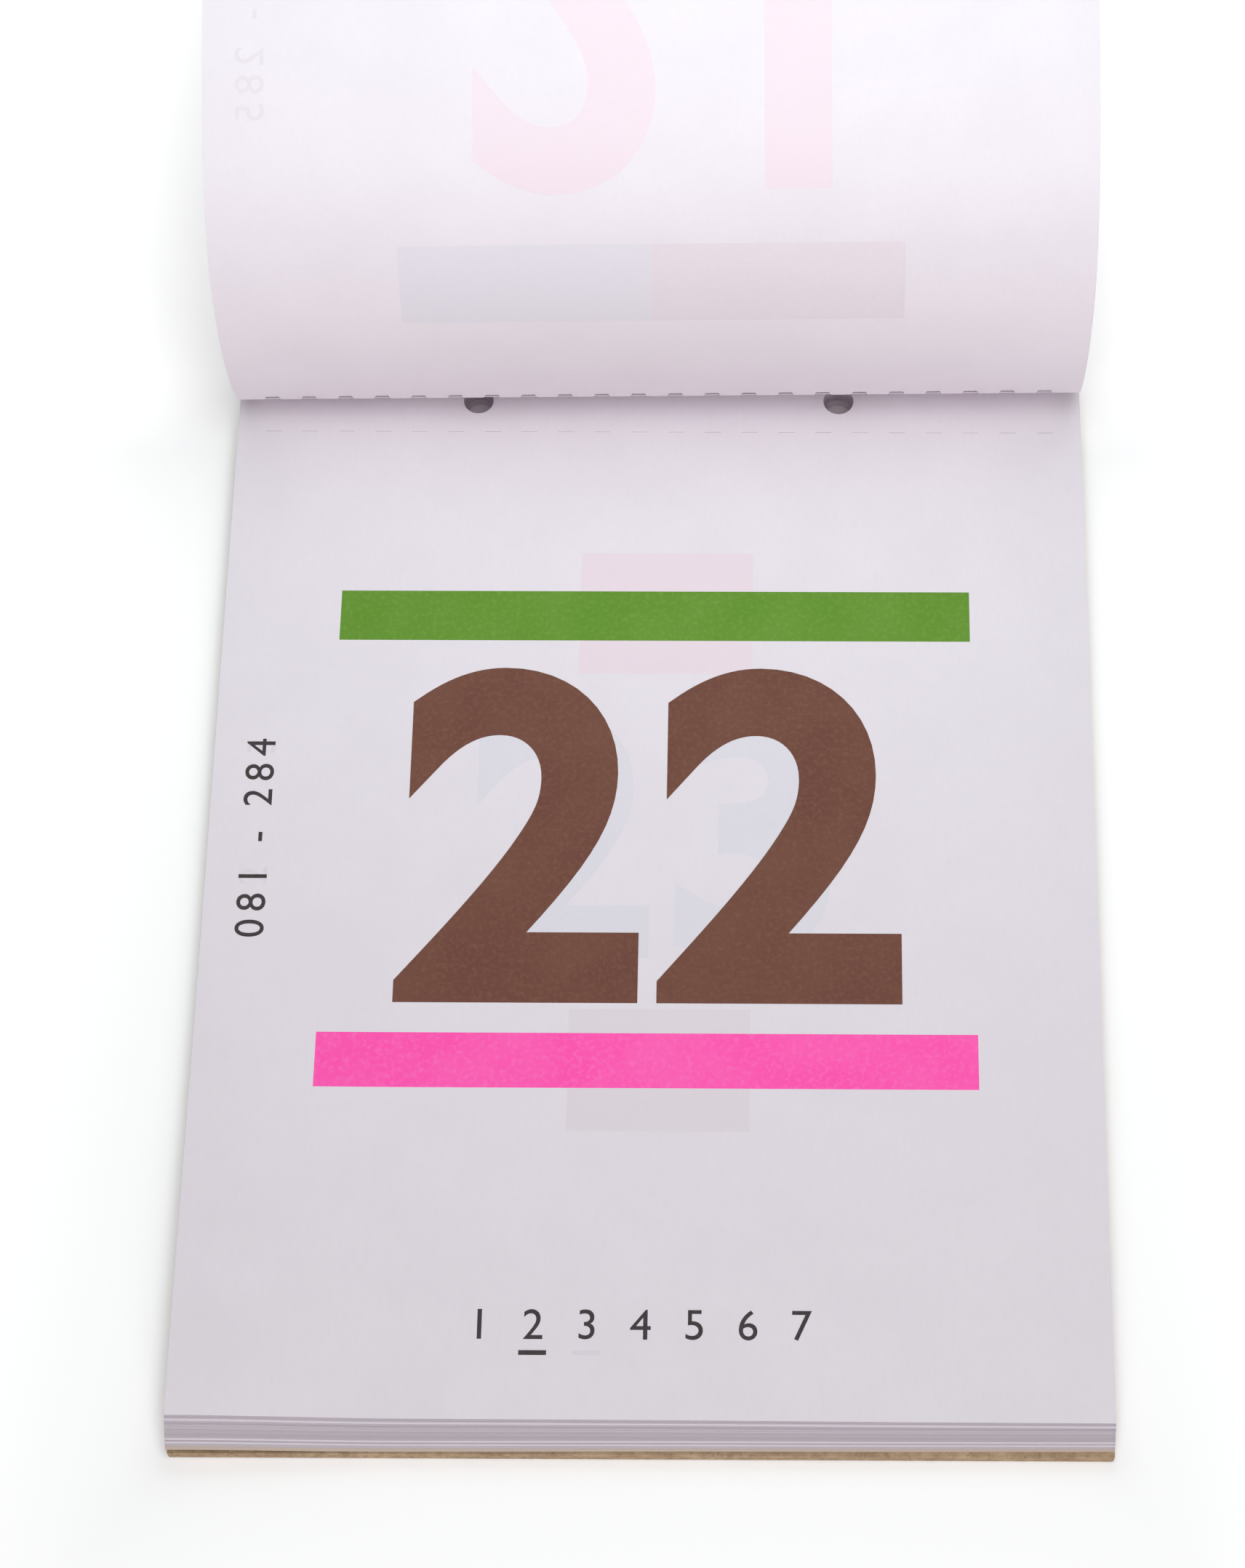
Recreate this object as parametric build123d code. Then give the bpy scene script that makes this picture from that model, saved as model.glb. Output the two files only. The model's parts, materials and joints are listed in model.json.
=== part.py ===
"""Tear-off day calendar: a padded block of perforated day leaves on a grey board, drilled for hanging.

The pad lies on its back with its foot towards -Y, its glued head towards +Y and the day's leaf facing +Z.
The leaf of the day before is turned up at its perforation and arches back over the head.
The origin is the middle of the board's underside. All sizes are in millimetres.
"""

import math
import os

from build123d import *

# Sheets
sheet_width = 140.0
leaf_length = 168.0
stub_depth = 12.0
paper = 0.1
leaf_air = 0.022
leaf_count = 30
foot_fan = 3.9

# Perforation between leaf and stub
perforation_pitch = 6.1
cut_length = 2.7
cut_kerf = 0.2
perforation_margin = 4.0

# Backing board and the glue film over the head
board_thickness = 2.0
board_lip = 0.9
board_corner_radius = 1.0
glue_film = 0.6
glue_edge_radius = 0.35

# Hanging holes
hole_diameter = 5.0
hole_spacing = 60.0
hole_inset = 6.0

# Sheet that is turned back over the head, with its angles in degrees; its stub is lifted further on the right
stub_lift = 38.0
stub_twist = 3.8
fold_gap = 0.12
leaf_lean = 15.3
rise_radius = 41.0
rise_turn = 76.0
droop_turn = 75.0

# Places that follow from the sizes
sheet_pitch = paper + leaf_air
board_length = stub_depth + leaf_length + foot_fan + board_lip
head_y = board_length / 2
perforation_y = head_y - stub_depth
hole_y = head_y - hole_inset
fan_step = foot_fan / (leaf_count - 1)
block_top = board_thickness + leaf_count * sheet_pitch
stub_root = Vector(head_y, block_top + leaf_air)


def sheet_bottom(number):
    """Height of the underside of a sheet, counted from the day's own sheet, which is number 1."""
    return block_top - (number - 1) * sheet_pitch - paper


def hanging_holes():
    """Centres of the two drilled holes."""
    return Locations((-hole_spacing / 2, hole_y), (hole_spacing / 2, hole_y))


def cut_centres():
    """Middles of the perforation's cuts across the sheet."""
    room = sheet_width - 2 * perforation_margin - cut_length
    gaps = int(room / perforation_pitch)
    first = -gaps * perforation_pitch / 2
    return [first + index * perforation_pitch for index in range(gaps + 1)]


def strip(back_y, front_y):
    """Rectangle of sheet width between two places along the pad."""
    with Locations((0, (back_y + front_y) / 2)):
        return Rectangle(sheet_width, back_y - front_y)


def make_board():
    """Grey board behind the block, with softly cut corners and the two drilled holes."""
    with BuildPart() as board:
        with BuildSketch():
            RectangleRounded(sheet_width, board_length, board_corner_radius)
            with hanging_holes():
                Circle(hole_diameter / 2, mode=Mode.SUBTRACT)
        extrude(amount=board_thickness)
    return board.part


def make_glue():
    """Film of padding glue over the head of board and stubs, rounded along its two long edges."""
    with BuildPart() as film:
        with BuildSketch():
            strip(head_y + glue_film, head_y)
        extrude(amount=block_top)
        outer = film.faces().sort_by(Axis.Y)[-1]
        fillet(outer.edges().filter_by(Axis.X), min(glue_edge_radius, 0.9 * glue_film))
    return film.part


def make_stub(bottom, height):
    """Drilled head strip that stays in the glue: one sheet's stub, or several bound together."""
    with BuildPart() as stub:
        with BuildSketch(Plane.XY.offset(bottom)):
            strip(head_y, perforation_y)
            with hanging_holes():
                Circle(hole_diameter / 2, mode=Mode.SUBTRACT)
        extrude(amount=height)
    return stub.part


def make_leaf(number):
    """Day leaf lying on the pad, with the perforation's cuts along its head edge."""
    foot_y = perforation_y - leaf_length - (number - 1) * fan_step
    with BuildPart() as leaf:
        with BuildSketch(Plane.XY.offset(sheet_bottom(number))):
            strip(perforation_y, foot_y)
            with Locations(*[(x, perforation_y - cut_kerf / 2) for x in cut_centres()]):
                Rectangle(cut_length, cut_kerf, mode=Mode.SUBTRACT)
        extrude(amount=paper)
    return leaf.part


def heading(turn):
    """Unit vector in the side view, along the pad and up, turned back by so many degrees from upright."""
    return Vector(math.sin(math.radians(turn)), math.cos(math.radians(turn)))


def stub_turn(side):
    """Turn of the lifted stub in the side view, from -1 at its left edge to 1 at its right edge."""
    return stub_lift + side * stub_twist - 90


def fold_end(side):
    """Left end (-1) or right end (1) of the turned leaf's fold, just off the tip of its stub."""
    side_view = stub_root + heading(stub_turn(side)) * stub_depth + heading(-leaf_lean) * fold_gap
    return Vector(side * sheet_width / 2, side_view.X, side_view.Y)


def arch_plane():
    """Side view of the turned leaf, square to its slanting fold, with the middle of the fold as its origin."""
    along_fold = fold_end(1) - fold_end(-1)
    level = Vector(0, 0, 1).cross(along_fold)
    return Plane(origin=(fold_end(-1) + fold_end(1)) / 2, x_dir=level, z_dir=along_fold)


def stub_section(side):
    """Turned stub in side view at its left or right edge: a straight strip from the glue up to the fold."""
    along = heading(stub_turn(side)) * stub_depth
    over = heading(stub_turn(side) + 90) * paper
    with BuildSketch(Plane.YZ.offset(side * sheet_width / 2)) as section:
        with BuildLine():
            Polyline(stub_root, stub_root + along, stub_root + along + over, stub_root + over, close=True)
        make_face()
    return section.sketch


def make_turned_stub():
    """Stub of the turned sheet, lifted off the pad at its glued edge, with the drilled holes square to it."""
    drilled = Location((0, stub_root.X, stub_root.Y), (-stub_lift, 0, 0))
    with BuildPart() as stub:
        loft([stub_section(-1), stub_section(1)], ruled=True)
        with Locations(*[drilled * Location((side * hole_spacing / 2, -hole_inset, 0)) for side in (-1, 1)]):
            Cylinder(hole_diameter / 2, stub_depth, mode=Mode.SUBTRACT)
    return stub.part


def make_turned_leaf():
    """Turned leaf: up from its fold, round over the head, then drooping behind it."""
    droop_length = leaf_length - fold_gap - rise_radius * math.radians(rise_turn)
    droop_radius = droop_length / math.radians(droop_turn)
    start = heading(-leaf_lean)
    crest = heading(rise_turn - leaf_lean)
    over = heading(-leaf_lean - 90) * paper
    side_view = arch_plane()
    with BuildPart() as leaf:
        with BuildSketch(side_view):
            with BuildLine():
                under_rise = JernArc((0, 0), start, rise_radius, -rise_turn)
                under_droop = JernArc(under_rise @ 1, crest, droop_radius, -droop_turn)
                over_rise = JernArc(over, start, rise_radius + paper, -rise_turn)
                over_droop = JernArc(over_rise @ 1, crest, droop_radius + paper, -droop_turn)
                Line(under_rise @ 0, over_rise @ 0)
                Line(under_droop @ 1, over_droop @ 1)
            make_face()
        extrude(amount=sheet_width / 2, both=True)
        with Locations(*[side_view.location * Location((0, 0, x), (0, 0, leaf_lean)) for x in cut_centres()]):
            Box(4 * paper, 2 * cut_kerf, cut_length, mode=Mode.SUBTRACT)
    return leaf.part


def make_pieces():
    """Every piece of the pad by its name."""
    pieces = {
        "backing_board": make_board(),
        "head_glue": make_glue(),
        "stub_block": make_stub(board_thickness, sheet_bottom(2) + paper - board_thickness),
        "today_stub": make_stub(sheet_bottom(1), paper),
        "today_leaf": make_leaf(1),
        "turned_stub": make_turned_stub(),
        "turned_leaf": make_turned_leaf(),
    }
    for number in range(2, leaf_count + 1):
        pieces[f"leaf_{number:02d}"] = make_leaf(number)
    return pieces


os.makedirs("parts", exist_ok=True)
for name, piece in make_pieces().items():
    piece.label = name
    export_step(piece, f"parts/{name}.step")

print("board", sheet_width, "x", round(board_length, 2), "block top", round(block_top, 3))
print("perforation at y", round(perforation_y, 2), "holes at y", round(hole_y, 2))
print("turned stub root", round(stub_root.X, 3), round(stub_root.Y, 3))
for side in (-1, 1):
    print("end of the fold", [round(value, 6) for value in fold_end(side)])
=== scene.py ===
"""Looks of the tear-off day calendar: paper, printing ink, greyboard and padding glue on its frame.

Every sheet and every print is made flat first, as it lies in a closed pad: x across, y back from the
perforation, z up from the printed face. One formula then lays it on the pad or bends it over the head, so
that ink stays on its paper. Lengths are in metres, written as millimetres times MM, and angles are in
degrees until they are used.
"""

import json
import math
import random

import bmesh
import bpy
from mathutils import Matrix, Vector


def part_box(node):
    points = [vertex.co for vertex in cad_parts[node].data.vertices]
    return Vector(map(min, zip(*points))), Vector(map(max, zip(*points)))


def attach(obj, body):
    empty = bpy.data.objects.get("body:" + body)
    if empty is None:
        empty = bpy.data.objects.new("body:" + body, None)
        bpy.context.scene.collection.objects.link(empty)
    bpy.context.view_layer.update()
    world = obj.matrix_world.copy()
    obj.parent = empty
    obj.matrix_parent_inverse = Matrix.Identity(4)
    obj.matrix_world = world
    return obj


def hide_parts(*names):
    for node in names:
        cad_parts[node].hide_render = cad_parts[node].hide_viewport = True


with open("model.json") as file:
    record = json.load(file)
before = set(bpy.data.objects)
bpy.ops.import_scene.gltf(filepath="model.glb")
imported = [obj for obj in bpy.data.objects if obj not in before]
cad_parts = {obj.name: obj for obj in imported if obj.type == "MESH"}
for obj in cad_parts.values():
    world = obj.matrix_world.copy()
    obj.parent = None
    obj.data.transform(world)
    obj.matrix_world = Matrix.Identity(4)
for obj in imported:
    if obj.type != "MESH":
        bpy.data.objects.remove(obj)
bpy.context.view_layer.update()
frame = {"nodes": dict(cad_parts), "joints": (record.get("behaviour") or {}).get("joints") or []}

MM = 0.001

# Sizes that the frame gives
page_low, page_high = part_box("today_leaf")
stub_low, stub_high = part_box("today_stub")
board_low, board_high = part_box("backing_board")
under_leaves = sorted(name for name in frame["nodes"] if name.startswith("leaf_"))
half_width = page_high.x
perforation_y = page_high.y
leaf_length = page_high.y - page_low.y
paper = page_high.z - page_low.z
stub_depth = stub_high.y - stub_low.y

# Hinges of the turned sheet, and the directions of its arch, square to the slanting fold
hinges = {joint["name"]: joint for joint in frame["joints"]}
stub_root = Vector(hinges["turned_stub_lift"]["pos_m"])
fold_middle = Vector(hinges["turned_leaf_swing"]["pos_m"])
fold_line = -Vector(hinges["turned_leaf_swing"]["axis"]).normalized()
arch_back = Vector((0, 0, 1)).cross(fold_line).normalized()
arch_up = fold_line.cross(arch_back)

# Perforation and hanging holes; the cuts hardly show on the pad, and along the fold the paper over them
# springs back
CUT_PITCH = 6.1 * MM
CUT_LENGTH = 2.7 * MM
CUT_MARGIN = 4.0 * MM
PAGE_KERF = 0.05 * MM
FOLD_KERF = 0.20 * MM
FLAP_SPRING = 0.36 * MM
FLAP_SLOPE = 0.30 * MM
HOLE_RADIUS = 2.5 * MM
HOLE_SPACING = 60.0 * MM
HOLE_INSET = 6.0 * MM
HOLE_SEGMENTS = 48

# Bends of the turned sheet as its solids have them, with a stub that is lifted further on the right; here
# its sides also draw in towards the fold, by a small share of its width
STUB_LIFT = 38.0
STUB_TWIST = 3.8
FOLD_GAP = 0.12 * MM
LEAF_LEAN = 15.3
RISE_RADIUS = 41.0 * MM
RISE_TURN = 76.0
DROOP_TURN = 75.0
FOLD_DRAW = 0.0085
FOLD_DRAW_LENGTH = 30.0 * MM
rise_length = RISE_RADIUS * math.radians(RISE_TURN)
droop_radius = (leaf_length - FOLD_GAP - rise_length) / math.radians(DROOP_TURN)

# Loose feet of the leaves, which stand up at the left, most at the corner
FOOT_LIFT = 0.28 * MM
LIFT_START_Y = -10.0 * MM
LIFT_FULL_X = 0.0 * MM
LIFT_END_X = 45.0 * MM
CORNER_LIFT = 1.30 * MM
CORNER_START_X = -35.0 * MM
PAGE_CURL = 0.12 * MM
FOOT_JITTER = 0.05 * MM

# Feet that lie a little askew: how far each is set back in the middle, and how much more at the right
TOP_ASKEW = Vector((-0.22, 0.42)) * MM
LAST_ASKEW = Vector((-0.10, 0.92)) * MM
BOARD_ASKEW = Vector((0.27, 0.53)) * MM

# Board, with corners cut nearly square and edges that the cut has crushed
BOARD_CORNER = 0.30 * MM
CORNER_SEGMENTS = 4
BOARD_CRUSH = 0.12 * MM

# Painted shade on the cut edges at the foot: most sheets get a grey in place of the shade between the
# stacked edges, a few stand out further and get little, so they stay bright, and the last ones are end
# paper;
# shades run from 0 for plain paper to 1 for the full painted shade of a cut edge
EDGE_DEPTH = 0.5 * MM
EDGE_SHADES = (0.55, 1.0)
BRIGHT_LEAVES = (5, 21, 24)
BRIGHT_SHIFT = -0.10 * MM
BRIGHT_LEAF_SHADE = 0.2
END_LEAVES = 3
EDGE_SEED = 22

# Films of ink, and of print that shows through from the other side, with the height of a flat sheet's
# printed face
INK_FILM = 0.02 * MM
GHOST_FILM = 0.008 * MM
PRINTED_FACE = 0.0

# Meshes: axes of a flat sheet, strips in which it bends, the angle of a sharp edge, the least upward share
# of a level face's normal, and the distances at which places are the same and doubles are merged
ACROSS, ALONG = 0, 1
PAD_STRIP = 3.0 * MM
ARCH_STRIP = 2.0 * MM
STUB_STRIP = 5.0 * MM
SHARP_ANGLE = math.radians(40)
LEVEL_FACE = 0.5
SAME_PLACE = 1e-7
MERGE_DISTANCE = 1e-6

# Print of a day: large numerals, blocks of colour with their centre, width and height, day counts up the
# margin and a row for the week
NUMERAL_WEIGHT = 0.030
NUMERAL_SPACING = 1.06
NUMERAL_RESOLUTION = 12
SMALL_HEIGHT = 4.6 * MM
COUNT_PLACE = (-62.5 * MM, -74.0 * MM)
COUNT_SPACING = 1.35
COUNT_TURN = math.pi / 2
WEEK_DAYS = 7
WEEK_Y = -153.5 * MM
WEEK_PITCH = 8.0 * MM
MARK_DROP = 0.95 * SMALL_HEIGHT
MARK_WIDTH = 0.9 * SMALL_HEIGHT
MARK_HEIGHT = 0.16 * SMALL_HEIGHT
today = {
    "number": "22", "count": "081 - 284", "weekday": 1, "numeral_ink": "brown",
    "numeral_y": -73.0 * MM, "numeral_height": 58 * MM,
    "blocks": [
        ("green", (0, -34.5 * MM), 102 * MM, 9 * MM),
        ("pink", (0, -111.5 * MM), 102 * MM, 9 * MM),
    ],
}
tomorrow = {
    "number": "23", "count": "082 - 283", "weekday": 2, "numeral_ink": "green",
    "numeral_y": -73.0 * MM, "numeral_height": 44 * MM,
    "blocks": [
        ("pink", (2 * MM, -34 * MM), 28 * MM, 22 * MM),
        ("brown", (2 * MM, -113 * MM), 28 * MM, 20 * MM),
    ],
}
yesterday = {
    "number": "21", "count": "080 - 285", "weekday": 0, "numeral_ink": "pink",
    "numeral_y": -70.0 * MM, "numeral_height": 50 * MM,
    "blocks": [
        ("green", (-20 * MM, -30 * MM), 40 * MM, 14 * MM),
        ("brown", (20 * MM, -30 * MM), 40 * MM, 14 * MM),
    ],
}

# Stage: the floor's tone beside the board and its painted shade under the board's holes, and where one
# goes over to the other; its glow at the board and far off, and at which distances; the glow that is added
# beside the arch, and where that starts and is full. Distances on the floor are counted in half boards
FLOOR_SIZE = 8.0
FLOOR_DROP = 0.05 * MM
FLOOR_TONE = "#F4F5F5"
HOLE_SHADE = "#DDD2D9"
BOARD_RIM = (0.97, 0.99)
FLOOR_GLOW = (0.12, 0.90)
FLOOR_REACH = (1.0, 4.0)
HEAD_GLOW = 0.16
HEAD_REACH = (0.86, 1.02)

# Light: the sky's strength, and each softbox with its place, the point it faces, its side, its power and
# its colour
SKY_LIGHT = 0.12
SOFTBOXES = {
    "softbox_low_front": ((0.10, -1.05, 0.36), (0, 0.05, 0.03), 0.60, 5.0, "#FFF3F7"),
    "softbox_high_front": ((0.07, -0.20, 0.87), (0, 0.03, 0.02), 0.55, 4.5, "#FFFFFF"),
    "softbox_over_head": ((0.01, 0.17, 0.25), (0, 0.15, 0.05), 0.26, 0.36, "#F4FFFD"),
}

# Camera of the photograph, from a fit to the page's edges and holes
IMAGE_HEIGHT = 2156
SENSOR = 36.0
FOCAL_PIXELS = 5187
CAMERA_PLACE = Vector((16.9, -239.4, 547.5)) * MM
CAMERA_AZIMUTH = -4.80
CAMERA_ELEVATION = 64.71
CAMERA_ROLL = 4.00
CLIP_START = 10.0 * MM


def smooth_step(value):
    """Eased ramp from 0 to 1."""
    value = min(1.0, max(0.0, value))
    return value * value * (3 - 2 * value)


# Materials, with the wave texture's own factor and the distances between stacked sheets and between plies
WAVE_FACTOR = 20
SHEET_PITCH = 0.122 * MM
PLY_PITCH = 0.3 * MM


def linear(code):
    """Linear colour with full alpha from an sRGB hex code."""
    channels = [int(code[place:place + 2], 16) / 255 for place in (1, 3, 5)]
    return [c / 12.92 if c <= 0.04045 else ((c + 0.055) / 1.055) ** 2.4 for c in channels] + [1.0]


def per(size):
    """Texture scale that gives a pattern of this real size on Object coordinates."""
    return 1.0 / size


def add(tree, kind, inputs=None, **settings):
    """Adds a node with its settings; an input takes a value, a socket, or a node for its first output."""
    node = tree.nodes.new(kind)
    for name, value in settings.items():
        setattr(node, name, value)
    for key, value in (inputs or {}).items():
        if isinstance(value, bpy.types.Node):
            value = next(socket for socket in value.outputs if socket.enabled)
        if isinstance(value, bpy.types.NodeSocket):
            tree.links.new(value, node.inputs[key])
        else:
            node.inputs[key].default_value = value
    return node


def new_material(name):
    """Empty node material."""
    material = bpy.data.materials.new(name)
    material.use_nodes = True
    material.node_tree.nodes.clear()
    return material, material.node_tree


def lay_over(tree, under, over, pattern, low, high, most):
    """Colour with another over it: none where a pattern is low, and the share most where it is high."""
    share = add(tree, "ShaderNodeMapRange", {
        "Value": pattern, "From Min": low, "From Max": high, "To Max": most})
    return add(tree, "ShaderNodeMix", {0: share, 6: under, 7: over}, data_type="RGBA")


def finish_material(tree, colour, relief, strength, depth, roughness, ior):
    """Surface of a material that is no metal, from its colour and a pattern that gives its relief."""
    bump = add(tree, "ShaderNodeBump", {"Height": relief, "Strength": strength, "Distance": depth})
    surface = add(tree, "ShaderNodeBsdfPrincipled", {
        "Base Color": colour, "Normal": bump, "Roughness": roughness, "IOR": ior})
    add(tree, "ShaderNodeOutputMaterial", {"Surface": surface})


def uncoated_paper(name, light, shade, edge):
    """Uncoated machine-made paper: faint clouds, short fibres along the web, and painted shade at its cut
    edges.
    """
    material, tree = new_material(name)
    place = add(tree, "ShaderNodeTexCoord").outputs["Object"]
    cloud = add(tree, "ShaderNodeTexNoise", {"Vector": place, "Scale": per(11 * MM), "Detail": 2.0})
    along_web = add(tree, "ShaderNodeMapping", {"Vector": place, "Scale": (1.0, 0.35, 1.0)})
    # Fibres are drawn about 0.7 mm wide, several times their real width, so that they show
    fibre = add(tree, "ShaderNodeTexNoise", {
        "Vector": along_web, "Scale": per(0.7 * MM), "Detail": 4.0, "Roughness": 0.6})
    clouded = lay_over(tree, linear(light), linear(shade), cloud, low=0.35, high=0.68, most=0.30)
    flecked = lay_over(tree, clouded, linear(shade), fibre, low=0.40, high=0.75, most=0.30)
    # Painted shade: where a sheet's cut edges are marked, the paper takes its darker edge colour
    painted_edge_shade = add(tree, "ShaderNodeAttribute", attribute_name="painted_edge_shade").outputs["Fac"]
    colour = add(tree, "ShaderNodeMix", {0: painted_edge_shade, 6: flecked, 7: linear(edge)}, data_type="RGBA")
    finish_material(tree, colour, fibre, strength=0.10, depth=0.03 * MM, roughness=0.86, ior=1.45)
    return material


def offset_ink(name, solid, fleck):
    """Solid offset ink sunk into uncoated paper: matt, with fine flecks where fibres take less of it."""
    material, tree = new_material(name)
    place = add(tree, "ShaderNodeTexCoord").outputs["Object"]
    # Flecks are drawn about 0.8 mm wide, a few times their real width, so that they show
    grain = add(tree, "ShaderNodeTexNoise", {
        "Vector": place, "Scale": per(0.8 * MM), "Detail": 5.0, "Roughness": 0.65})
    patch = add(tree, "ShaderNodeTexNoise", {"Vector": place, "Scale": per(9 * MM), "Detail": 2.0})
    uneven = lay_over(tree, linear(solid), linear(fleck), patch, low=0.35, high=0.70, most=0.30)
    colour = lay_over(tree, uneven, linear(fleck), grain, low=0.48, high=0.72, most=0.75)
    finish_material(tree, colour, grain, strength=0.10, depth=0.02 * MM, roughness=0.80, ior=1.45)
    return material


def stacked_edges(name, light, shade, pitch):
    """Drilled stack of sheets or plies: fine level lines along their cut edges."""
    material, tree = new_material(name)
    place = add(tree, "ShaderNodeTexCoord").outputs["Object"]
    # A line is drawn for every other sheet, because one for each is too fine to show
    fineness = math.tau / WAVE_FACTOR * per(2 * pitch)
    lines = add(tree, "ShaderNodeTexWave", {
        "Vector": place, "Scale": fineness, "Distortion": 0.6, "Detail": 1.0},
        wave_type="BANDS", bands_direction="Z").outputs["Fac"]
    mottle = add(tree, "ShaderNodeTexNoise", {"Vector": place, "Scale": per(0.7 * MM), "Detail": 3.0})
    lined = lay_over(tree, linear(light), linear(shade), lines, low=0.25, high=0.75, most=0.8)
    colour = lay_over(tree, lined, linear(shade), mottle, low=0.40, high=0.75, most=0.35)
    finish_material(tree, colour, lines, strength=0.20, depth=0.03 * MM, roughness=0.88, ior=1.45)
    return material


def grey_board(name, light, mid, dark):
    """Raw greyboard pressed from waste paper: brownish, with matted fibres, plies and dark specks."""
    material, tree = new_material(name)
    place = add(tree, "ShaderNodeTexCoord").outputs["Object"]
    matted = add(tree, "ShaderNodeTexNoise", {
        "Vector": place, "Scale": per(1.3 * MM), "Detail": 5.0, "Roughness": 0.7})
    patch = add(tree, "ShaderNodeTexNoise", {"Vector": place, "Scale": per(7 * MM), "Detail": 3.0})
    flattened = add(tree, "ShaderNodeMapping", {"Vector": place, "Scale": (0.15, 0.15, 1.0)})
    ply = add(tree, "ShaderNodeTexNoise", {"Vector": flattened, "Scale": per(0.5 * MM), "Detail": 2.0})
    speck = add(tree, "ShaderNodeTexVoronoi", {"Vector": place, "Scale": per(1.1 * MM)})
    patched = lay_over(tree, linear(light), linear(mid), patch, low=0.32, high=0.68, most=1.0)
    fibred = lay_over(tree, patched, linear(dark), matted, low=0.42, high=0.70, most=0.75)
    plied = lay_over(tree, fibred, linear(dark), ply, low=0.50, high=0.70, most=0.25)
    # A speck is the middle of a cell, so its range runs from far to near
    colour = lay_over(tree, plied, linear(dark), speck, low=0.22, high=0.10, most=0.55)
    finish_material(tree, colour, matted, strength=0.45, depth=0.08 * MM, roughness=0.92, ior=1.45)
    return material


def padding_glue(name, light, shade):
    """Dried white padding glue brushed along the head: rubbery, with a low gloss and long brush marks."""
    material, tree = new_material(name)
    place = add(tree, "ShaderNodeTexCoord").outputs["Object"]
    along_head = add(tree, "ShaderNodeMapping", {"Vector": place, "Scale": (0.06, 1.0, 1.0)})
    brush = add(tree, "ShaderNodeTexNoise", {
        "Vector": along_head, "Scale": per(0.8 * MM), "Detail": 4.0, "Roughness": 0.6})
    patch = add(tree, "ShaderNodeTexNoise", {"Vector": place, "Scale": per(6 * MM), "Detail": 2.0})
    marked = lay_over(tree, linear(light), linear(shade), brush, low=0.38, high=0.68, most=0.7)
    colour = lay_over(tree, marked, linear(shade), patch, low=0.40, high=0.70, most=0.4)
    finish_material(tree, colour, brush, strength=0.35, depth=0.10 * MM, roughness=0.42, ior=1.47)
    return material


# The third colour of each paper is painted shade for its cut edges, where the sheets lie stacked
page_stock = uncoated_paper("uncoated_page_paper", "#E2DCE3", "#DAD4DB", "#BDB2BC")
leaf_stock = uncoated_paper("uncoated_leaf_paper", "#E2DCE3", "#DAD4DB", "#B0A8B0")
end_stock = uncoated_paper("uncoated_end_paper", "#DBCFC2", "#D0C3B5", "#BFB0A4")
drilled_stock = stacked_edges("drilled_stub_paper", "#E6DBE5", "#BFB3BE", SHEET_PITCH)
# Painted light: the greyboard's hole walls take a pale paper colour instead of greyboard, so that they
# look lit
hole_walls_painted_light = stacked_edges("drilled_greyboard", "#E9DEE8", "#CFC3CD", PLY_PITCH)
board_stock = grey_board("raw_greyboard", "#B9A385", "#A68E72", "#7D6648")
glue_coat = padding_glue("dried_padding_glue", "#EFEBE3", "#DAD3C8")
inks = {
    "brown": offset_ink("brown_ink", "#633A2E", "#78503F"),
    "green": offset_ink("leaf_green_ink", "#58871F", "#6E983B"),
    "pink": offset_ink("bright_pink_ink", "#FE50AF", "#FE72BE"),
    "grey": offset_ink("dark_grey_ink", "#2C2729", "#433D40"),
}
ghosts = {
    "brown": offset_ink("brown_show_through", "#DCD3DA", "#DFD6DE"),
    "green": offset_ink("green_show_through", "#D8D6DE", "#DDD7E0"),
    "pink": offset_ink("pink_show_through", "#E2D3DC", "#E2D6DF"),
    "grey": offset_ink("grey_show_through", "#D9D2DA", "#DDD5DE"),
}


# Flat sheets and prints


def cut_spans(inset=0.0):
    """Places across the sheet where each cut of the perforation begins and ends, or a little inside."""
    room = 2 * (half_width - CUT_MARGIN) - CUT_LENGTH
    gaps = int(room / CUT_PITCH)
    reach = CUT_LENGTH / 2 - inset
    centres = [(index - gaps / 2) * CUT_PITCH for index in range(gaps + 1)]
    return [(centre - reach, centre + reach) for centre in centres]


def within(x, spans):
    """Whether a place across the sheet lies inside one of the spans."""
    return any(start < x < end for start, end in spans)


def pull_edges(shape, edges, step):
    """Extrudes a row of edges along the sheet and gives the new faces."""
    grown = bmesh.ops.extrude_edge_only(shape, edges=edges)["geom"]
    points = [item for item in grown if isinstance(item, bmesh.types.BMVert)]
    bmesh.ops.translate(shape, verts=points, vec=(0, -step, 0))
    return [item for item in grown if isinstance(item, bmesh.types.BMFace)]


def row_of_edges(shape, y):
    """Edges of a flat sheet that lie across it at one place along it."""
    return [edge for edge in shape.edges if all(abs(point.co.y - y) < SAME_PLACE for point in edge.verts)]


def slice_flat(shape, axis, step):
    """Cuts flat faces into strips across one axis, so that they can bend."""
    normal = Vector([1.0 if index == axis else 0.0 for index in range(3)])
    places = [point.co[axis] for point in shape.verts]
    for index in range(math.ceil(min(places) / step), math.floor(max(places) / step) + 1):
        everything = shape.verts[:] + shape.edges[:] + shape.faces[:]
        bmesh.ops.bisect_plane(
            shape, geom=everything, dist=SAME_PLACE, plane_co=normal * index * step, plane_no=normal)


def thicken(shape, rise):
    """Closes a flat sheet to a slab whose other face lies so far above it, or below it if negative."""
    bmesh.ops.recalc_face_normals(shape, faces=shape.faces[:])
    grown = bmesh.ops.extrude_face_region(shape, geom=shape.faces[:], use_keep_orig=True)["geom"]
    points = [item for item in grown if isinstance(item, bmesh.types.BMVert)]
    bmesh.ops.translate(shape, verts=points, vec=(0, 0, rise))
    bmesh.ops.recalc_face_normals(shape, faces=shape.faces[:])


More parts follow.
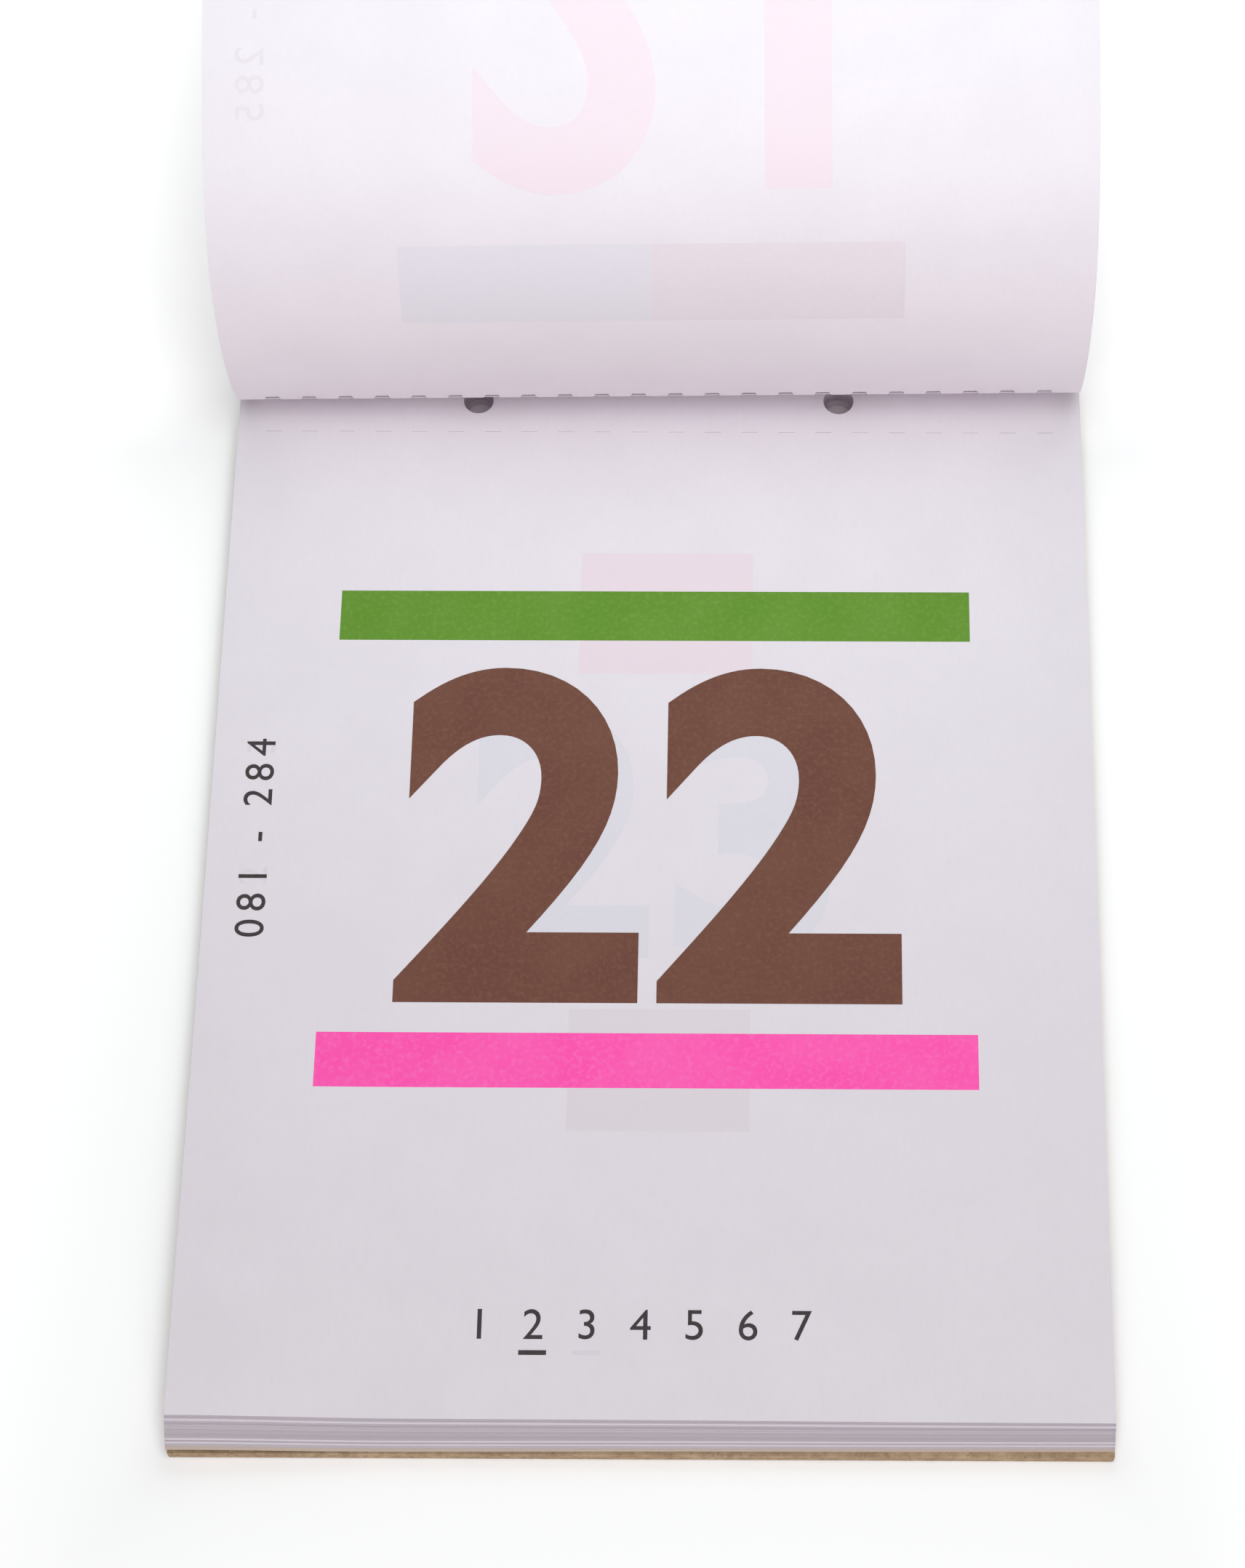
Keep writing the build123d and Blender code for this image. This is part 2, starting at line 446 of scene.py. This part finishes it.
def flat_leaf(length, kerf, strip, shade_at_edges, spring=0.0):
    """Leaf with the perforation's cuts open along its head edge, and with its cut edges marked for painted
    shade.
    """
    shape = bmesh.new()
    tone = shape.verts.layers.float.new("painted_edge_shade")
    inner = half_width - EDGE_DEPTH
    flaps = cut_spans(FLAP_SLOPE) if spring else []
    marks = [x for span in cut_spans() + flaps for x in span]
    across = sorted([-half_width, -inner, *marks, inner, half_width])
    points = [shape.verts.new((x, 0, 0)) for x in across]
    head = [shape.edges.new(pair) for pair in zip(points, points[1:])]
    ties = pull_edges(shape, head, kerf)
    pull_edges(shape, row_of_edges(shape, -kerf), length - kerf - EDGE_DEPTH)
    cuts = [face for face in ties if within(face.calc_center_median().x, cut_spans())]
    bmesh.ops.delete(shape, geom=cuts, context="FACES")
    slice_flat(shape, ALONG, strip)
    pull_edges(shape, row_of_edges(shape, EDGE_DEPTH - length), EDGE_DEPTH)
    thicken(shape, -paper)
    flap_middles = cut_spans(FLAP_SLOPE / 2)
    for point in shape.verts:
        at_foot = point.co.y < EDGE_DEPTH / 2 - length
        at_side = abs(point.co.x) > half_width - EDGE_DEPTH / 2
        point[tone] = shade_at_edges if at_foot or at_side else 0.0
        on_flap = abs(point.co.y + kerf) < SAME_PLACE and within(point.co.x, flap_middles)
        if spring and on_flap:
            point.co.z += spring
    return shape


def add_rectangle(shape, centre, width, length):
    """Adds a flat rectangle to a shape, made from a grid of one face whose half side is given."""
    place = Matrix.Translation((*centre, 0)) @ Matrix.Diagonal((width, length, 1, 1))
    bmesh.ops.create_grid(shape, x_segments=1, y_segments=1, size=0.5, matrix=place)


def drilled_panel(width, length, head_y, corner):
    """Flat panel with the two drilled holes and round corners, its head edge at a place along the pad."""
    shape = bmesh.new()
    add_rectangle(shape, (0, head_y - length / 2), width, length)
    if corner:
        bmesh.ops.bevel(
            shape, geom=shape.verts[:], offset=corner, segments=CORNER_SEGMENTS, profile=0.5,
            affect="VERTICES", material=-1)
    bmesh.ops.delete(shape, geom=shape.faces[:], context="FACES_ONLY")
    for side in (-1, 1):
        centre = Matrix.Translation((side * HOLE_SPACING / 2, head_y - HOLE_INSET, 0))
        bmesh.ops.create_circle(
            shape, cap_ends=False, radius=HOLE_RADIUS, segments=HOLE_SEGMENTS, matrix=centre)
    bmesh.ops.triangle_fill(shape, use_beauty=True, edges=shape.edges[:])
    return shape


def flat_stub():
    """Head strip of a sheet with its two drilled holes, from the perforation back to the glue."""
    shape = drilled_panel(2 * half_width, stub_depth, head_y=stub_depth, corner=0.0)
    slice_flat(shape, ACROSS, STUB_STRIP)
    thicken(shape, paper)
    return shape


def drilled_greyboard():
    """Board with crushed edges; the walls of its holes take the second finish, a pale colour of painted
    light.
    """
    shape = drilled_panel(2 * half_width, board_high.y - board_low.y, board_high.y, BOARD_CORNER)
    bmesh.ops.translate(shape, verts=shape.verts[:], vec=(0, 0, board_low.z + BOARD_CRUSH))
    thicken(shape, board_high.z - board_low.z - 2 * BOARD_CRUSH)
    level = [face for face in shape.faces if abs(face.normal.z) > LEVEL_FACE]
    bmesh.ops.inset_region(
        shape, faces=level, thickness=BOARD_CRUSH, depth=BOARD_CRUSH, use_even_offset=True)
    holes = [Vector((side * HOLE_SPACING / 2, board_high.y - HOLE_INSET)) for side in (-1, 1)]
    for face in shape.faces:
        off = min((face.calc_center_median().xy - hole).length for hole in holes)
        face.material_index = 1 if off < HOLE_RADIUS and abs(face.normal.z) < LEVEL_FACE else 0
    return shape


def add_numerals(shape, text, centre, height, weight=0.0, spacing=1.0, turn=0.0):
    """Plain numerals of a given height, centred on a place; weight thickens their strokes."""
    lettering = bpy.data.curves.new("numerals", "FONT")
    lettering.body = text
    lettering.offset = weight
    lettering.space_character = spacing
    lettering.resolution_u = NUMERAL_RESOLUTION
    holder = bpy.data.objects.new("numerals", lettering)
    outline = bpy.data.meshes.new_from_object(holder)
    corners = [point.co for point in outline.vertices]
    low = Vector([min(point[axis] for point in corners) for axis in range(3)])
    high = Vector([max(point[axis] for point in corners) for axis in range(3)])
    scale = height / (high.y - low.y)
    outline.transform(Matrix.Translation(-(low + high) / 2))
    place = Matrix.Translation((*centre, 0)) @ Matrix.Rotation(turn, 4, "Z")
    outline.transform(place @ Matrix.Scale(scale, 4))
    shape.from_mesh(outline)
    bpy.data.objects.remove(holder)
    bpy.data.curves.remove(lettering)
    bpy.data.meshes.remove(outline)


# Places of flat sheets in the part


def on_pad(top, length, askew, curl):
    """Formula that lays a flat sheet on the pad, where its loose foot stands up and lies a bit askew."""
    def place(point):
        lift = FOOT_LIFT * smooth_step((LIFT_END_X - point.x) / (LIFT_END_X - LIFT_FULL_X)) + curl
        lift += CORNER_LIFT * smooth_step((CORNER_START_X - point.x) / (CORNER_START_X + half_width))
        lift *= smooth_step((LIFT_START_Y - perforation_y - point.y) / (LIFT_START_Y - page_low.y))
        shift = (askew.x + askew.y * point.x / half_width) * -point.y / length
        return Vector((point.x, perforation_y + point.y + shift, top + point.z + lift))
    return place


def on_floor(point):
    """Formula that lays the board in its place, with its front edge cut a little askew."""
    shift = (BOARD_ASKEW.x + BOARD_ASKEW.y * point.x / half_width) * max(0.0, point.y / board_low.y)
    return Vector((point.x, point.y + shift, point.z))


def heading(turn):
    """Unit vector in the side view, along and up, turned back by so many degrees from upright."""
    return Vector((math.sin(math.radians(turn)), math.cos(math.radians(turn))))


def right_of(direction):
    """Side view direction turned a quarter to the right."""
    return Vector((direction.y, -direction.x))


def turn_about(start, turn, radius, along, height):
    """Side view place along an arc that bends back from a start and a turn, height on its inner side."""
    centre = start + right_of(heading(turn)) * radius
    spoke = right_of(heading(turn + math.degrees(along / radius)))
    return centre - spoke * (radius - height)


def drawn_in(distance, reach):
    """Share of the turned sheet's width that is left at a distance from its fold."""
    return 1 - FOLD_DRAW * max(0.0, 1 - distance / reach)


def on_stub(point):
    """Formula that lays a flat head strip on the lifted stub, between its left and right edges."""
    across = point.x * drawn_in(point.y, stub_depth)
    edges = []
    for side in (-1, 1):
        direction = heading(STUB_LIFT + side * STUB_TWIST - 90)
        edges.append(direction * (stub_depth - point.y) + right_of(direction) * point.z)
    side_view = edges[0].lerp(edges[1], 0.5 + 0.5 * across / half_width)
    return stub_root + Vector((across, *side_view))


def on_arch(point):
    """Formula that bends a flat leaf up from its slanting fold, back over the head and down behind it."""
    start, turn, radius = Vector((0, 0)), -LEAF_LEAN, RISE_RADIUS
    across = point.x * drawn_in(-point.y, FOLD_DRAW_LENGTH)
    along = -point.y - FOLD_GAP
    if along > rise_length:
        start = turn_about(start, turn, radius, rise_length, 0.0)
        turn, radius = turn + RISE_TURN, droop_radius
        along -= rise_length
    side_view = turn_about(start, turn, radius, along, point.z)
    return fold_middle + fold_line * across + arch_back * side_view.x + arch_up * side_view.y


def finish_piece(name, shape, place, finishes, body, replaced=None):
    """Puts a flat shape in its place and makes it a piece that rides on a body."""
    for point in shape.verts:
        point.co = place(point.co)
    data = bpy.data.meshes.new(name)
    shape.to_mesh(data)
    shape.free()
    data.shade_smooth()
    data.set_sharp_from_angle(angle=SHARP_ANGLE)
    for material in finishes:
        data.materials.append(material)
    piece = bpy.data.objects.new(name, data)
    bpy.context.scene.collection.objects.link(piece)
    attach(piece, body)
    if replaced:
        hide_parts(replaced)


# Print of one day


def day_print(day):
    """Flat shapes of a day's print by ink."""
    shapes = {ink: bmesh.new() for ink in inks}
    large = shapes[day["numeral_ink"]]
    middle = (0, day["numeral_y"])
    add_numerals(large, day["number"], middle, day["numeral_height"], NUMERAL_WEIGHT, NUMERAL_SPACING)
    for ink, centre, width, height in day["blocks"]:
        add_rectangle(shapes[ink], centre, width, height)
    small = shapes["grey"]
    add_numerals(small, day["count"], COUNT_PLACE, SMALL_HEIGHT, spacing=COUNT_SPACING, turn=COUNT_TURN)
    for index in range(WEEK_DAYS):
        x = (index - WEEK_DAYS // 2) * WEEK_PITCH
        add_numerals(small, str(index + 1), (x, WEEK_Y), SMALL_HEIGHT)
        if index == day["weekday"]:
            add_rectangle(small, (x, WEEK_Y - MARK_DROP), MARK_WIDTH, MARK_HEIGHT)
    return {ink: shape for ink, shape in shapes.items() if shape.faces}


def print_day(leaf, suffix, day, place, body, kinds, base, film, strip):
    """Lays a day's print on a leaf as thin films, one piece for each ink."""
    for ink, shape in day_print(day).items():
        bmesh.ops.remove_doubles(shape, verts=shape.verts[:], dist=MERGE_DISTANCE)
        slice_flat(shape, ACROSS, PAD_STRIP)
        slice_flat(shape, ALONG, strip)
        bmesh.ops.translate(shape, verts=shape.verts[:], vec=(0, 0, base))
        thicken(shape, film)
        finish_piece(f"{leaf}_{ink}_{suffix}", shape, place, [kinds[ink]], body)


# Pieces


def make_today():
    """Today's leaf with its print, and with tomorrow's showing through from the leaf under it."""
    place = on_pad(page_high.z, leaf_length, TOP_ASKEW, PAGE_CURL)
    page = flat_leaf(leaf_length, PAGE_KERF, PAD_STRIP, shade_at_edges=0.0)
    finish_piece("today_page", page, place, [page_stock], "today_leaf", "today_leaf")
    print_day("today", "print", today, place, "today_leaf", inks, PRINTED_FACE, INK_FILM, PAD_STRIP)
    print_day(
        "today", "show_through", tomorrow, place, "today_leaf", ghosts,
        PRINTED_FACE, GHOST_FILM, PAD_STRIP)


def make_under_leaves():
    """Leaves under today's, with feet that differ in place and painted shade; the first one has its print.
    """
    dice = random.Random(EDGE_SEED)
    # Today's own leaf is number 1
    for number, node in enumerate(under_leaves, start=2):
        low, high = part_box(node)
        length = high.y - low.y
        share = (number - 1) / len(under_leaves)
        shift = dice.uniform(0.0, FOOT_JITTER)
        tone = dice.uniform(*EDGE_SHADES)
        # A sheet that stands out further gets little painted shade on its edge
        if number in BRIGHT_LEAVES:
            shift, tone = BRIGHT_SHIFT, BRIGHT_LEAF_SHADE
        askew = TOP_ASKEW.lerp(LAST_ASKEW, share) + Vector((shift, 0))
        place = on_pad(high.z, length, askew, curl=0.0)
        sheet = flat_leaf(length, PAGE_KERF, PAD_STRIP, tone)
        stock = end_stock if node in under_leaves[-END_LEAVES:] else leaf_stock
        finish_piece(f"{node}_sheet", sheet, place, [stock], node, node)
        if node == under_leaves[0]:
            print_day("tomorrow", "print", tomorrow, place, node, inks, PRINTED_FACE, INK_FILM, PAD_STRIP)


def make_turned_sheet():
    """Yesterday's sheet: its lifted stub and its leaf, printed on the inner side of the arch."""
    finish_piece("turned_stub_strip", flat_stub(), on_stub, [page_stock], "turned_stub", "turned_stub")
    sheet = flat_leaf(leaf_length, FOLD_KERF, ARCH_STRIP, shade_at_edges=0.0, spring=FLAP_SPRING)
    finish_piece("turned_page", sheet, on_arch, [page_stock], "turned_leaf", "turned_leaf")
    print_day(
        "yesterday", "print", yesterday, on_arch, "turned_leaf", inks,
        PRINTED_FACE, INK_FILM, ARCH_STRIP)
    print_day(
        "yesterday", "show_through", yesterday, on_arch, "turned_leaf", ghosts,
        -paper, -GHOST_FILM, ARCH_STRIP)


def make_board():
    """Greyboard under the leaves."""
    finishes = [board_stock, hole_walls_painted_light]
    finish_piece(
        "greyboard_panel", drilled_greyboard(), on_floor, finishes, "pad", "backing_board")


def dress_cad_nodes():
    """Finishes of the pieces that keep their solid shape."""
    finishes = {"head_glue": glue_coat, "stub_block": drilled_stock, "today_stub": page_stock}
    for node, material in finishes.items():
        frame["nodes"][node].material_slots[0].material = material


# Stage, light and camera


def seen_directly(tree):
    """1 for rays from the camera or a shiny or clear surface, 0 for light that falls on the object."""
    path = add(tree, "ShaderNodeLightPath").outputs
    mirrored = add(tree, "ShaderNodeMath", {
        0: path["Is Glossy Ray"], 1: path["Is Transmission Ray"]}, operation="MAXIMUM")
    return add(tree, "ShaderNodeMath", {0: path["Is Camera Ray"], 1: mirrored}, operation="MAXIMUM")


def studio_floor():
    """Matt white floor with soft shadows, whiter further off and beside the arch; painted shade under the
    holes.
    """
    material, tree = new_material("white_studio_floor")
    place = add(tree, "ShaderNodeTexCoord").outputs["Object"]
    in_boards = add(tree, "ShaderNodeVectorMath", {
        0: place, 1: (1 / board_high.x, 1 / board_high.y, 0)}, operation="MULTIPLY")
    away = add(tree, "ShaderNodeVectorMath", {0: in_boards}, operation="ABSOLUTE")
    apart = add(tree, "ShaderNodeSeparateXYZ", {0: away}).outputs
    reach = add(tree, "ShaderNodeMath", {0: apart["X"], 1: apart["Y"]}, operation="MAXIMUM")
    beside = add(tree, "ShaderNodeMapRange", {
        "Value": reach, "From Min": BOARD_RIM[0], "From Max": BOARD_RIM[1]})
    seen_beside = add(tree, "ShaderNodeMath", {0: seen_directly(tree), 1: beside}, operation="MULTIPLY")
    graded = add(tree, "ShaderNodeMapRange", {
        "Value": reach, "From Min": FLOOR_REACH[0], "From Max": FLOOR_REACH[1],
        "To Min": FLOOR_GLOW[0], "To Max": FLOOR_GLOW[1]})
    along = add(tree, "ShaderNodeSeparateXYZ", {0: in_boards}).outputs["Y"]
    at_head = add(tree, "ShaderNodeMapRange", {
        "Value": along, "From Min": HEAD_REACH[0], "From Max": HEAD_REACH[1], "To Max": HEAD_GLOW})
    brightness = add(tree, "ShaderNodeMath", {0: graded, 1: at_head}, operation="ADD")
    glow = add(tree, "ShaderNodeMath", {0: seen_beside, 1: brightness}, operation="MULTIPLY")
    light = add(tree, "ShaderNodeEmission", {"Strength": glow})
    # Painted shade: under the board, where it is seen through the holes, the floor takes a dim tone
    tone = add(tree, "ShaderNodeMix", {
        0: beside, 6: linear(HOLE_SHADE), 7: linear(FLOOR_TONE)}, data_type="RGBA")
    matt = add(tree, "ShaderNodeBsdfDiffuse", {"Color": tone})
    both = add(tree, "ShaderNodeAddShader", {0: matt, 1: light})
    add(tree, "ShaderNodeOutputMaterial", {"Surface": both})
    return material


def make_floor():
    """Wide floor just under the board."""
    shape = bmesh.new()
    bmesh.ops.create_grid(shape, x_segments=1, y_segments=1, size=FLOOR_SIZE / 2)
    bmesh.ops.translate(shape, verts=shape.verts[:], vec=(0, 0, -FLOOR_DROP))
    data = bpy.data.meshes.new("floor")
    shape.to_mesh(data)
    shape.free()
    data.materials.append(studio_floor())
    floor = bpy.data.objects.new("floor", data)
    bpy.context.scene.collection.objects.link(floor)


def make_sky():
    """White sky that is seen as white and lights the object more softly."""
    world = bpy.data.worlds.new("white_sky")
    bpy.context.scene.world = world
    world.use_nodes = True
    tree = world.node_tree
    tree.nodes.clear()
    strength = add(tree, "ShaderNodeMapRange", {"Value": seen_directly(tree), "To Min": SKY_LIGHT})
    sky = add(tree, "ShaderNodeBackground", {"Strength": strength})
    add(tree, "ShaderNodeOutputWorld", {"Surface": sky})


def make_lights():
    """Low softbox before the foot that reaches under the arch, a high one and one near the head."""
    for name, (place, aim, side, power, colour) in SOFTBOXES.items():
        lamp = bpy.data.lights.new(name, "AREA")
        lamp.size = side
        lamp.energy = power
        lamp.color = linear(colour)[:3]
        holder = bpy.data.objects.new(name, lamp)
        holder.location = place
        holder.rotation_euler = (Vector(aim) - Vector(place)).to_track_quat("-Z", "Y").to_euler()
        bpy.context.scene.collection.objects.link(holder)


def make_camera():
    """Camera at the photograph's place and angle."""
    azimuth, elevation, roll = map(math.radians, (CAMERA_AZIMUTH, CAMERA_ELEVATION, CAMERA_ROLL))
    level_ahead = Vector((math.sin(azimuth), math.cos(azimuth), 0))
    ahead = level_ahead * math.cos(elevation) - Vector((0, 0, math.sin(elevation)))
    level = Vector((math.cos(azimuth), -math.sin(azimuth), 0))
    below = ahead.cross(level)
    right = level * math.cos(roll) + below * math.sin(roll)
    down = below * math.cos(roll) - level * math.sin(roll)
    data = bpy.data.cameras.new("photo_camera")
    data.sensor_width = SENSOR
    data.lens = FOCAL_PIXELS * SENSOR / IMAGE_HEIGHT
    data.clip_start = CLIP_START
    camera = bpy.data.objects.new("photo_camera", data)
    facing = Matrix((right, -down, -ahead)).transposed().to_4x4()
    camera.matrix_world = Matrix.Translation(CAMERA_PLACE) @ facing
    bpy.context.scene.collection.objects.link(camera)
    bpy.context.scene.camera = camera


make_board()
make_today()
make_under_leaves()
make_turned_sheet()
dress_cad_nodes()
make_floor()
make_sky()
make_lights()
make_camera()
bpy.context.scene.view_settings.view_transform = "Standard"
